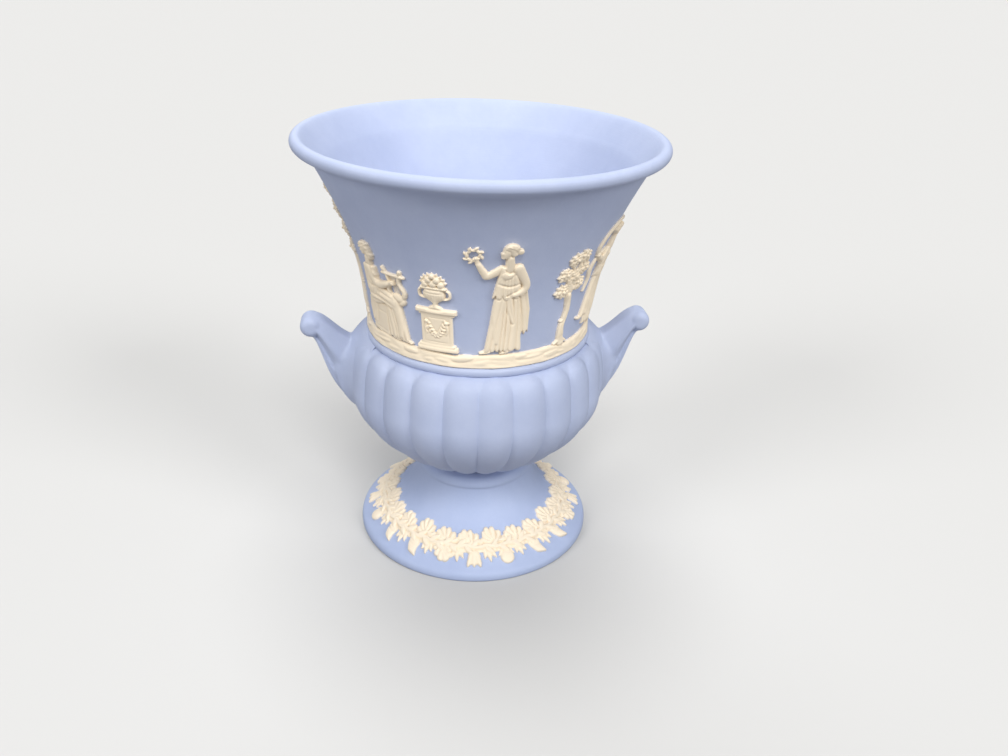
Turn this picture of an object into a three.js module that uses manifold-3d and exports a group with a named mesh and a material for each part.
// Two-handled bell urn in pale blue unglazed stoneware with cream-white applied reliefs.
// Millimetres, +Z up. The origin is the centre of the foot ring's resting plane.
// The handles lie on the X axis. The front of the urn faces -Y.

import * as THREE from 'three';
import { mergeVertices } from 'three/addons/utils/BufferGeometryUtils.js';
import Module from 'manifold-3d';

const wasm = await Module();
wasm.setup();

// Heights. The foot, the bowl and the bell stack on thin slip joints, and the bell takes the rest.
const overallHeight = 125;
const footHeight = 25.7;
const bowlHeight = 41.5;
const slipGap = 0.3;

// Foot
const footRadius = 36.8;
const footEdgeRise = 2.85;
const footEdgeInset = 0.9;
const footRingWidth = 4.2;
const footWall = 3.4;
const collarRadius = 17.7;
const collarHeight = 4.9;
const collarTopRadius = 16.6;
const footSlopeReach = 8.4;
const footSlopeRise = 5.9;
const footThroatReach = 2.8;
const footThroatDrop = 11;
const footNeckHeight = 1.9;

// Gadrooned bowl
const stemRadius = 13.4;
const stemHeight = 2.0;
const lobeCount = 24;
const lobeTurn = -4.9;
const lobeDepthShare = 0.03;
const lobeEndHeight = 4.5;
const bowlRadius = 38.95;
const bowlRimRadius = 34.4;
const bowlShoulderReach = 4;
const scallopRadius = 21.9;
const bowlWall = 4;
const bowlFloor = 5.6;

// Bell
const wall = 3.0;
const waistRadius = 31.35;
const flareRadius = 47.4;
const lipRadius = 51.35;
const lipRoll = 1.75;
const lipUnderDrop = 2.25;
const lipRollFrom = -62;
const lipRollTo = 118;
const beadRadius = 34.4;
const beadHeight = 1.9;
const waistPull = 17.5;
const waistSwell = 2.07;
const flarePull = 26.4;
const flareTuck = 14.1;

// Handles
const handleReach = 52.2;
const handleKnobRadius = 3.1;
const handleKnobAbove = 1.7;
const handleHalfWidth = 4.3;
const handleCurl = 5.1;
const handleSaddleReach = 7.8;
const handleSaddleBelow = 1.5;
const handleShoulderReach = 1.1;
const handleShoulderBelow = 3.9;
const handleNeckDepth = 10.7;
const handleThroat = 4.2;
const handleBelly = 1.5;
const handleTailBelow = 26.9;
const handleTailLift = 7;
const handleTailSink = 3.7;

// White reliefs
const reliefGap = 0.3;
const reliefLow = 0.9;
const reliefMid = 1.3;
const reliefHigh = 1.7;
const groundHeight = 3.2;
const groundRipple = 0.35;
const figureHeight = 33.5;
const lyrePlayerHeight = 27.4;
const tallTreeHeight = 39;
const lowTreeHeight = 29;
const pedestalHeight = 24;
const garlandOuterRadius = 34.6;
const garlandInnerRadius = 23.6;
const garlandStemRadius = 29.2;
const garlandStemWidth = 2.2;
const leafNotchShare = 0.74;
const garlandRelief = 0.9;
const garlandRepeats = 24;
const garlandLengths = 4;
const garlandEndGap = 0.8;

// Roundness of the model
const turns = 40;
const lobeSteps = 4;
const wallSteps = 5;
const footSteps = 5;
const bowlSteps = 4;

// Levels that follow from the sizes above
const bowlBase = footHeight + slipGap;
const bowlRim = bowlBase + bowlHeight;
const bellBase = bowlRim + slipGap;
const bellTop = overallHeight;
const waistLevel = bellBase + beadHeight;
const friezeBase = waistLevel + groundHeight + groundRipple + reliefGap;

const degree = Math.PI / 180;
const quarterTurn = 90;
const flat = (radius, level) => new THREE.Vector2(radius, level);

const stoneware = () => new THREE.MeshStandardMaterial({ color: 0xa9b7da, roughness: 0.82, metalness: 0 });
const whiteSprig = () => new THREE.MeshStandardMaterial({ color: 0xf1e6d2, roughness: 0.78, metalness: 0 });

// Solids and geometry

function solidFrom(geometry) {
  const bare = geometry.clone();
  for (const name of Object.keys(bare.attributes)) {
    if (name !== 'position') bare.deleteAttribute(name);
  }
  const merged = mergeVertices(bare, 1e-4);
  const place = merged.getAttribute('position');
  const corners = [];
  let volume = 0;
  const a = new THREE.Vector3();
  const b = new THREE.Vector3();
  const c = new THREE.Vector3();
  for (let i = 0; i < merged.index.count; i += 3) {
    const [p, q, r] = [0, 1, 2].map((step) => merged.index.getX(i + step));
    if (p === q || q === r || r === p) continue;
    corners.push([p, q, r]);
    a.fromBufferAttribute(place, p);
    b.fromBufferAttribute(place, q);
    c.fromBufferAttribute(place, r);
    volume += a.dot(b.cross(c));
  }
  const outward = volume > 0 ? corners : corners.map(([p, q, r]) => [p, r, q]);
  return new wasm.Manifold(new wasm.Mesh({
    numProp: 3,
    vertProperties: new Float32Array(place.array),
    triVerts: new Uint32Array(outward.flat()),
  }));
}

function geometryFrom(solid) {
  const mesh = solid.getMesh();
  const geometry = new THREE.BufferGeometry();
  geometry.setAttribute('position', new THREE.BufferAttribute(new Float32Array(mesh.vertProperties), 3));
  geometry.setIndex(new THREE.BufferAttribute(new Uint32Array(mesh.triVerts), 1));
  geometry.computeVertexNormals();
  return geometry;
}

function joined(solids) {
  return solids.reduce((whole, next) => whole.add(next));
}

// A profile of radius and level, turned about the Z axis
function turned(profile, steps = turns) {
  const geometry = new THREE.LatheGeometry(profile, steps);
  geometry.rotateX(Math.PI / 2);
  return solidFrom(geometry);
}

function curvePoints(start, pullStart, pullEnd, end, steps) {
  return new THREE.CubicBezierCurve(start, pullStart, pullEnd, end).getPoints(steps);
}

function arcPoints(centre, radius, from, to, steps) {
  return Array.from({ length: steps + 1 }, (_, i) => {
    const angle = (from + (to - from) * i / steps) * degree;
    return flat(centre.x + radius * Math.cos(angle), centre.y + radius * Math.sin(angle));
  });
}

// Rings of equal point counts, skinned from the first to the last and capped at both ends
function skinned(rings) {
  const count = rings[0].length;
  const points = rings.flat();
  const faces = [];
  for (let ring = 0; ring < rings.length - 1; ring += 1) {
    for (let i = 0; i < count; i += 1) {
      const here = ring * count + i;
      const next = ring * count + (i + 1) % count;
      faces.push(here, next, next + count, here, next + count, here + count);
    }
  }
  for (const end of [0, rings.length - 1]) {
    const centre = new THREE.Vector3();
    rings[end].forEach((point) => centre.addScaledVector(point, 1 / count));
    points.push(centre);
    for (let i = 0; i < count; i += 1) {
      const here = end * count + i;
      const next = end * count + (i + 1) % count;
      faces.push(...(end === 0 ? [next, here, points.length - 1] : [here, next, points.length - 1]));
    }
  }
  const geometry = new THREE.BufferGeometry().setFromPoints(points);
  geometry.setIndex(faces);
  return solidFrom(geometry);
}

// Foot: a spreading trumpet from a thin rounded edge up to a collar, hollow from below

const footEdge = flat(footRadius - footEdgeInset, footEdgeRise);
const collarLevel = footHeight - collarHeight;
const collarTop = footHeight - footNeckHeight;
const footSlope = curvePoints(
  footEdge,
  flat(footEdge.x - footSlopeReach, footEdge.y + footSlopeRise),
  flat(collarRadius + footThroatReach, collarLevel - footThroatDrop),
  flat(collarRadius, collarLevel),
  footSteps,
);

function footBody() {
  const hollowRim = footRadius - footRingWidth;
  const underside = footSlope.slice(1, -1)
    .map((point) => flat(Math.min(point.x - footWall * 0.6, hollowRim - 0.8), point.y - footWall * 0.5));
  const profile = [
    flat(0, collarLevel - footWall),
    flat(collarRadius - footWall - 1.4, collarLevel - footWall),
    ...underside.reverse(),
    flat(hollowRim, 0),
    flat(footRadius - 0.5, 0),
    flat(footRadius, 0.6),
    flat(footRadius - 0.2, footEdgeRise * 0.6),
    ...footSlope,
    flat(collarRadius - 0.2, collarLevel + 0.8),
    flat(collarTopRadius + 0.3, collarTop - 0.7),
    flat(collarTopRadius - 0.5, collarTop),
    flat(stemRadius + 0.5, collarTop + 0.3),
    flat(stemRadius, footHeight),
    flat(0, footHeight),
  ];
  return turned(profile);
}

// Bowl: convex lobes round a turned body, closed in under a scalloped edge, on a short stem

const bowlSpan = bowlRim - bowlBase - stemHeight;
const bowlLevel = (share) => bowlBase + stemHeight + bowlSpan * share;
const bowlProfile = [
  ...curvePoints(
    flat(scallopRadius, bowlLevel(0.02)),
    flat(bowlRadius * 0.815, bowlLevel(0.17)),
    flat(bowlRadius * 1.015, bowlLevel(0.4)),
    flat(bowlRadius * 0.994, bowlLevel(0.62)),
    bowlSteps,
  ),
  ...curvePoints(
    flat(bowlRadius * 0.994, bowlLevel(0.62)),
    flat(bowlRadius * 0.982, bowlLevel(0.76)),
    flat(bowlRimRadius + bowlShoulderReach, bowlLevel(0.98)),
    flat(bowlRimRadius, bowlLevel(1)),
    bowlSteps - 1,
  ).slice(1),
];

// How far a lobe stands out of its valleys, from 0 in a valley to 1 on the crest
function lobeBulge(angle) {
  const pitch = 2 * Math.PI / lobeCount;
  const along = (angle - lobeTurn * degree) / pitch;
  const across = 2 * (along - Math.floor(along + 1e-6)) - 1;
  const roundness = 0.92;
  const low = Math.sqrt(1 - roundness ** 2);
  return (Math.sqrt(1 - (roundness * across) ** 2) - low) / (1 - low);
}

// Lobes round off and fade out at the rim
function lobeDepth(point) {
  const fade = Math.min(1, Math.sqrt(Math.max(0, bowlLevel(1) - point.y) / lobeEndHeight));
  return lobeDepthShare * point.x * fade;
}

function gadroonedSolid(profile, grown = 0) {
  const steps = lobeCount * lobeSteps;
  const rings = profile.map((point) => Array.from({ length: steps }, (_, i) => {
    const angle = 2 * Math.PI * i / steps + lobeTurn * degree;
    const radius = point.x + grown - lobeDepth(point) * (1 - lobeBulge(angle));
    return new THREE.Vector3(radius * Math.cos(angle), radius * Math.sin(angle), point.y);
  }));
  return skinned(rings);
}

const bowlOutline = [flat(scallopRadius - 1.6, bowlLevel(0)), ...bowlProfile];

const bowlStem = [
  flat(0, bowlBase),
  flat(stemRadius, bowlBase),
  flat(stemRadius - 0.4, bowlBase + stemHeight * 0.5),
  flat(stemRadius + 1, bowlLevel(0)),
  flat(stemRadius + 1, bowlLevel(0) + 1),
  flat(0, bowlLevel(0) + 1),
];

// The inside is a plain turned hollow, widest where the bowl is and drawn in to the bell's mouth
const cavityFloor = bowlLevel(0) + bowlFloor;
const cavityWidest = flat(bowlRadius - bowlWall, bowlLevel(0.62));
const cavityMouth = flat(waistRadius - wall, bowlRim - 0.9);
const bowlCavity = [
  ...curvePoints(
    flat(0, cavityFloor),
    flat(cavityWidest.x * 0.64, cavityFloor),
    flat(cavityWidest.x * 0.98, bowlLevel(0.3)),
    cavityWidest,
    bowlSteps,
  ),
  ...curvePoints(
    cavityWidest,
    flat(cavityWidest.x, bowlLevel(0.82)),
    flat(cavityMouth.x + bowlWall * 0.8, bowlLevel(0.95)),
    cavityMouth,
    bowlSteps - 1,
  ).slice(1),
  flat(cavityMouth.x, bowlRim + 1),
  flat(0, bowlRim + 1),
];

function bowlBody() {
  return gadroonedSolid(bowlOutline).add(turned(bowlStem)).subtract(turned(bowlCavity));
}

// Bell: waisted wall that flares to a rolled lip, with a bead where it meets the bowl

const lipCentre = flat(lipRadius - lipRoll, bellTop - lipRoll);
const flareLevel = bellTop - lipRoll - lipUnderDrop;
const bellCurve = (inset, steps) => curvePoints(
  flat(waistRadius - inset, waistLevel),
  flat(waistRadius - inset + waistSwell, waistLevel + waistPull),
  flat(flareRadius - inset - flareTuck, flareLevel - flarePull),
  flat(flareRadius - inset, flareLevel),
  steps,
);

function bellBody() {
  const inner = bellCurve(wall, wallSteps - 1).reverse();
  const profile = [
    flat(waistRadius - wall, bellBase),
    flat(beadRadius - 0.9, bellBase),
    flat(beadRadius, bellBase + beadHeight * 0.45),
    flat(beadRadius - 0.9, bellBase + beadHeight * 0.85),
    ...bellCurve(0, wallSteps),
    ...arcPoints(lipCentre, lipRoll, lipRollFrom, lipRollTo, 5),
    flat(flareRadius - wall * 0.1, lipCentre.y + lipRoll * 0.15),
    ...inner,
    flat(waistRadius - wall, bellBase),
  ];
  return turned(profile);
}

// Handle: a strap that widens down onto the bowl from a rolled knob, with a hollow and a rim
// along its outer side

const knobCentre = flat(handleReach - handleKnobRadius, bowlRim + handleKnobAbove);
const handleTail = flat(bowlRadius - handleTailSink, bowlRim - handleTailBelow);

function handleKnob() {
  const edge = handleKnobRadius * 0.62;
  const profile = [
    flat(0, -handleHalfWidth),
    ...arcPoints(flat(handleKnobRadius - edge, edge - handleHalfWidth), edge, -90, 0, 2),
    ...arcPoints(flat(handleKnobRadius - edge, handleHalfWidth - edge), edge, 0, 90, 2),
    flat(0, handleHalfWidth),
  ];
  const geometry = new THREE.LatheGeometry(profile, 12);
  geometry.translate(knobCentre.x, 0, knobCentre.y);
  return solidFrom(geometry);
}

function handleStrap() {
  const upper = new THREE.CubicBezierCurve(
    flat(knobCentre.x - 0.4, knobCentre.y + handleKnobRadius - 0.05),
    flat(knobCentre.x - handleCurl, knobCentre.y + handleKnobRadius - 0.5),
    flat(bowlRimRadius + handleSaddleReach, bowlRim - handleSaddleBelow),
    flat(bowlRimRadius + handleShoulderReach, bowlRim - handleShoulderBelow),
  );
  const lower = new THREE.CubicBezierCurve(
    flat(knobCentre.x - 0.2, knobCentre.y - handleKnobRadius + 0.3),
    flat(knobCentre.x - handleThroat, knobCentre.y - handleNeckDepth),
    flat(knobCentre.x - handleBelly, handleTail.y + handleTailLift),
    handleTail,
  );
  // Share of the way from the upper to the lower edge, and share of the half width there
  const section = [
    [0, 0.4], [0.06, 0.78], [0.18, 1], [0.38, 0.98],
    [0.58, 0.66], [0.7, 0.62], [0.8, 0.7], [0.94, 0.52], [1, 0.25],
  ];
  const stations = 6;
  const rings = Array.from({ length: stations + 1 }, (_, station) => {
    const along = station / stations;
    const top = upper.getPoint(along);
    const bottom = lower.getPoint(along);
    const side = (sign) => section.map(([down, width]) => new THREE.Vector3(
      top.x + (bottom.x - top.x) * down,
      sign * width * handleHalfWidth,
      top.y + (bottom.y - top.y) * down,
    ));
    return [...side(1), ...side(-1).reverse()];
  });
  return skinned(rings);
}

function handleBody(bowlSkin) {
  return handleKnob().add(handleStrap()).subtract(bowlSkin);
}

// Reliefs are outlines seen from outside the urn, measured right of the middle and above the foot
// of the sprig, cut from thin shells that follow the wall

function limb(u1, v1, r1, u2, v2, r2) {
  const heading = Math.atan2(v2 - v1, u2 - u1) / degree;
  const far = arcPoints(flat(u2, v2), r2, heading - 90, heading + 90, 2);
  const near = arcPoints(flat(u1, v1), r1, heading + 90, heading + 270, 2);
  return new THREE.Shape([...far, ...near]);
}

function oval(u, v, halfWidth, halfHeight, tilt = 0, points = 8) {
  const turn = tilt * degree;
  return new THREE.Shape(Array.from({ length: points }, (_, i) => {
    const angle = 2 * Math.PI * i / points;
    const point = flat(halfWidth * Math.cos(angle), halfHeight * Math.sin(angle));
    return point.rotateAround(flat(0, 0), turn).add(flat(u, v));
  }));
}

function panel(...points) {
  return new THREE.Shape(points.map(([u, v]) => flat(u, v)));
}

function wallShell(depth) {
  const inner = bellCurve(-reliefGap, wallSteps);
  const outer = bellCurve(-reliefGap - depth, wallSteps).reverse();
  return turned([...inner, ...outer, inner[0]]);
}

const wallShells = new Map([reliefLow, reliefMid, reliefHigh].map((depth) => [depth, wallShell(depth)]));

// Shapes facing outwards at azimuth 0, as deep prisms through the wall
function wallPrisms(shapes, size, facingLeft) {
  const facing = new THREE.Matrix4().makeBasis(
    new THREE.Vector3(0, 1, 0),
    new THREE.Vector3(0, 0, 1),
    new THREE.Vector3(1, 0, 0),
  );
  return joined(shapes.map((shape) => {
    const geometry = new THREE.ExtrudeGeometry(shape, { depth: lipRadius, bevelEnabled: false });
    geometry.scale(facingLeft ? -size : size, size, 1);
    geometry.applyMatrix4(facing);
    geometry.translate(waistRadius / 2, 0, friezeBase);
    return solidFrom(geometry);
  }));
}

// Layers are lists of outlines, one for each relief depth. A sprig is drawn in units of its own,
// so many units tall, and made at the height asked for.
function wallSprig({ unitsTall, low = [], mid = [], high = [] }, height, facingLeft) {
  const size = height / unitsTall;
  const layers = [[reliefLow, low], [reliefMid, mid], [reliefHigh, high]];
  return joined(layers
    .filter(([, shapes]) => shapes.length > 0)
    .map(([depth, shapes]) => wallPrisms(shapes, size, facingLeft).intersect(wallShells.get(depth))));
}

// Draped woman in profile to the right, one arm raised with a wreath
const wreathBearer = {
  unitsTall: 33.5,
  low: [
    panel([-2.6, 27.2], [-5.6, 20], [-7, 11], [-6.4, 5.5], [-4.6, 6.5], [-1.5, 16], [0, 26]),
    limb(6.2, 24.4, 0.9, 8.4, 27.6, 0.8),
  ],
  mid: [
    panel([-2.4, 21], [2.4, 21], [3.6, 13], [5, 4], [5.4, 0.9], [0, 0], [-4.4, 0.4], [-5, 4], [-3.8, 13]),
    limb(4.6, 0.7, 0.7, 6.6, 0.7, 0.5),
    oval(9.4, 29.9, 2.2, 2.2),
    limb(2.6, 26.3, 1.3, 6.3, 24.3, 1),
  ],
  high: [
    limb(0, 19.6, 2.6, 0.2, 26.4, 2.9),
    oval(0.8, 30.9, 1.9, 2.4),
    oval(-1.4, 31.6, 1.1, 1.2),
    limb(0.3, 27.8, 1.1, 0.5, 30, 1),
    limb(-2.4, 26, 1.3, -4.2, 20.4, 1),
    limb(-4.2, 20.4, 1, -0.6, 18, 0.8),
  ],
};

// Seated woman in profile to the right, playing a lyre on a draped block
const lyrePlayer = {
  unitsTall: 27.4,
  low: [
    panel([-7, 0], [1.6, 0], [1.6, 9.4], [-7, 9.4]),
    limb(5.4, 13.6, 1.2, 4.3, 21.6, 0.7),
    limb(6.6, 13.6, 1.2, 9.2, 21.6, 0.7),
    limb(3.6, 20.4, 0.6, 10, 20.4, 0.6),
  ],
  mid: [
    limb(-3, 11.4, 3.4, 4.6, 11.4, 2.6),
    panel([2.4, 12], [7, 11.6], [7.6, 5], [8.6, 1.4], [7.6, 0], [2.8, 0], [2.2, 5]),
    panel([-7.4, 9.8], [-2, 10], [-4.2, 3.4], [-6.8, 3.8]),
    oval(6, 13.4, 2.4, 1.9),
  ],
  high: [
    limb(-3.4, 13, 3, -2.2, 19.6, 2.7),
    limb(-1.6, 21.4, 1, -1.1, 23.2, 1),
    oval(-0.8, 24.9, 2, 2.4),
    oval(-2.8, 25.6, 1.2, 1.2),
    limb(-1.2, 19.6, 1.2, 1.6, 16, 1),
    limb(1.6, 16, 1, 5.2, 17.4, 0.8),
  ],
};

// Dancing woman, one foot off the ground, with a veil blown into an arc over her head
const veilDancer = {
  unitsTall: 33.5,
  low: [
    panel([-3, 25.4], [-7.2, 22], [-9, 26.4], [-6.2, 31.6], [-0.4, 33.5], [5.4, 31.8], [8.4, 27.4],
      [6.8, 27], [4.4, 30.2], [-0.4, 31.8], [-5, 30.2], [-7.2, 26.2], [-6.4, 24.4]),
    limb(-4, 5.4, 1, -7.4, 4.2, 0.7),
  ],
  mid: [
    panel([-2.2, 19.6], [2.4, 19.6], [3.8, 12], [4.6, 4], [3, 1.4], [0, 2.6], [-3.6, 3], [-6, 6.4], [-4, 12]),
    limb(1.8, 2.4, 1, 2.6, 0.7, 0.7),
    limb(2.6, 0.7, 0.7, 4.6, 0.7, 0.5),
    limb(-2.4, 24.2, 1.2, -6.4, 22.8, 0.9),
    limb(2.6, 24.4, 1.2, 7, 26.6, 0.9),
  ],
  high: [
    limb(0, 18.4, 2.4, 0.2, 24, 2.7),
    limb(0.5, 26, 1, 0.9, 27.4, 1),
    oval(1.2, 28.9, 1.8, 2.2),
  ],
};

// Square pedestal with a moulded base and cap, carrying a small two-handled vase of fruit
const vasePedestal = {
  unitsTall: 24,
  low: [
    oval(0, 21.6, 3.3, 2.2, 0, 11),
    panel([-3.6, 19.6], [-2.8, 18.2], [2.8, 18.2], [3.6, 19.6]),
  ],
  mid: [
    panel([-4.3, 1.8], [4.3, 1.8], [4.3, 11], [-4.3, 11]),
    panel([-2, 12.6], [2, 12.6], [0.8, 13.8], [2.6, 15.4], [3.1, 18.4],
      [-3.1, 18.4], [-2.6, 15.4], [-0.8, 13.8]),
  ],
  high: [
    panel([-5.6, 0], [5.6, 0], [5.6, 1.4], [5, 2], [-5, 2], [-5.6, 1.4]),
    panel([-4.8, 10.8], [4.8, 10.8], [5.6, 11.6], [5.6, 12.8], [-5.6, 12.8], [-5.6, 11.6]),
  ],
};

// Laurel: a leaning trunk with a forked top, carrying clumps of leaves
function laurel(unitsTall, clumps) {
  const fork = unitsTall * 0.5;
  const crown = clumps.map(([u, v]) => [u, v * unitsTall]);
  return {
    unitsTall,
    low: crown.map(([u, v], i) => oval(u, v, 2.9, 2.4, 35 * i, 6)),
    mid: [
      panel([-1.9, 0], [2.1, 0], [1.2, 2.2], [1.1, fork], [-0.5, fork], [-0.9, 2.2]),
      ...crown.filter((_, i) => i % 2 === 0).map(([u, v]) => limb(0.3, fork - 1, 0.8, u * 0.8, v - 1, 0.5)),
    ],
  };
}

const tallLaurel = laurel(39, [
  [-2.8, 0.52], [3, 0.56], [-3.4, 0.66], [0.4, 0.64], [3.5, 0.7], [-2.2, 0.79], [1.8, 0.82], [0, 0.925],
]);
const lowLaurel = laurel(29, [
  [-3.2, 0.56], [3, 0.6], [-3.6, 0.74], [0.2, 0.7], [3.4, 0.77], [-1.4, 0.89], [1.8, 0.9],
]);

// The white ground line, an uneven strip on the wall just above the bead
function groundStrip(fromAngle, toAngle) {
  const stepAngle = 360 / turns;
  const count = Math.round((toAngle - fromAngle) / stepAngle);
  const wallRadius = (level) => {
    const outline = bellCurve(0, wallSteps);
    const above = outline.findIndex((point) => point.y >= level);
    const [lower, upper] = [outline[Math.max(0, above - 1)], outline[above]];
    const share = (level - lower.y) / Math.max(1e-6, upper.y - lower.y);
    return lower.x + (upper.x - lower.x) * Math.min(1, Math.max(0, share));
  };
  const rings = Array.from({ length: count + 1 }, (_, i) => {
    const end = i === 0 ? 0.4 : (i === count ? -0.4 : 0);
    const angle = (fromAngle + stepAngle * i + end) * degree;
    const ripple = groundRipple * Math.sin(5 * angle) * Math.cos(13 * angle);
    const top = waistLevel + groundHeight + ripple;
    const section = [
      [wallRadius(waistLevel) + reliefGap, waistLevel + 0.15],
      [wallRadius(waistLevel) + reliefGap + reliefHigh, waistLevel + 0.35],
      [wallRadius(top) + reliefGap + reliefMid, top - 0.35],
      [wallRadius(top) + reliefGap, top],
    ];
    return section.map(([radius, level]) => new THREE.Vector3(
      radius * Math.cos(angle), radius * Math.sin(angle), level,
    ));
  });
  return skinned(rings);
}

// Foot garland: a stem ring with lobed leaf clusters inside it and leaves and buds outside it

function footShell() {
  const lift = (rise) => footSlope.slice(0, -1).map((point) => flat(point.x, point.y + rise));
  const under = lift(reliefGap);
  return turned([...under, ...lift(reliefGap + garlandRelief).reverse(), under[0]]);
}

// A leaf whose edge runs in and out over so many points
function lobedLeaf(u, v, reach, lobes, tilt) {
  const edge = Array.from({ length: lobes * 2 }, (_, i) => {
    const angle = 180 * i / lobes + tilt;
    return arcPoints(flat(u, v), i % 2 === 0 ? reach : reach * leafNotchShare, angle, angle, 1)[0];
  });
  return new THREE.Shape(edge);
}

function garlandOutline(index) {
  const inward = garlandStemRadius - garlandInnerRadius;
  const outward = garlandOuterRadius - garlandStemRadius;
  const innerLeaf = lobedLeaf(0, garlandStemRadius - inward / 2, inward / 2, 5, -quarterTurn);
  const bud = oval(0, garlandStemRadius + outward / 2, 2.4, outward / 2);
  const outerLeaf = lobedLeaf(0, garlandStemRadius + outward / 2, outward / 2, 5, quarterTurn);
  return { inner: innerLeaf, outer: index % 2 === 0 ? bud : outerLeaf };
}

function garlandLength(shell) {
  const perLength = garlandRepeats / garlandLengths;
  const pitch = 360 / garlandRepeats;
  const prisms = [];
  const raise = (shape, angle) => {
    const geometry = new THREE.ExtrudeGeometry(shape, { depth: footHeight, bevelEnabled: false });
    geometry.rotateZ((angle - quarterTurn) * degree);
    prisms.push(solidFrom(geometry));
  };
  for (let i = 0; i < perLength; i += 1) {
    const middle = (i + 0.5) * pitch;
    const { inner, outer } = garlandOutline(i);
    raise(inner, middle);
    raise(outer, middle + pitch * 0.2);
  }
  const stemStart = quarterTurn + garlandEndGap;
  const stemEnd = quarterTurn + perLength * pitch - garlandEndGap;
  const stem = new THREE.Shape([
    ...arcPoints(flat(0, 0), garlandStemRadius + garlandStemWidth / 2, stemStart, stemEnd, perLength),
    ...arcPoints(flat(0, 0), garlandStemRadius - garlandStemWidth / 2, stemEnd, stemStart, perLength),
  ]);
  raise(stem, 0);
  return joined(prisms).intersect(shell);
}

// The urn

const root = new THREE.Group();
root.name = 'urn';

function addPiece(name, solid, material, azimuth = 0) {
  const mesh = new THREE.Mesh(geometryFrom(solid), material());
  mesh.name = name;
  mesh.rotation.z = azimuth * degree;
  root.add(mesh);
}

addPiece('foot', footBody(), stoneware);
addPiece('gadrooned_bowl', bowlBody(), stoneware);
addPiece('bell', bellBody(), stoneware);

const handle = handleBody(gadroonedSolid(bowlOutline, slipGap));
addPiece('handle_right', handle, stoneware);
addPiece('handle_left', handle, stoneware, 180);

addPiece('ground_strip_front', groundStrip(180, 360), whiteSprig);
addPiece('ground_strip_back', groundStrip(0, 180), whiteSprig);

const left = true;
const right = false;
const frieze = [
  ['tall_laurel', tallLaurel, tallTreeHeight, [['right', 0, right], ['left', 180, left]]],
  ['low_laurel', lowLaurel, lowTreeHeight, [['front', 308, right], ['back', 82, right]]],
  ['lyre_player', lyrePlayer, lyrePlayerHeight, [['front', 214, right], ['back', 56, left]]],
  ['vase_pedestal', vasePedestal, pedestalHeight,
    [['front', 245, right], ['left', 148, right], ['right', 24, right]]],
  ['wreath_bearer', wreathBearer, figureHeight, [['front', 276, left], ['back', 110, right]]],
  ['veil_dancer', veilDancer, figureHeight, [['front', 334, right]]],
];
for (const [name, motif, height, places] of frieze) {
  for (const [place, azimuth, facingLeft] of places) {
    addPiece(`${name}_${place}`, wallSprig(motif, height, facingLeft), whiteSprig, azimuth);
  }
}

const garland = garlandLength(footShell());
for (let i = 0; i < garlandLengths; i += 1) {
  addPiece(`foot_garland_${i + 1}`, garland, whiteSprig, 360 * i / garlandLengths);
}

export default root;
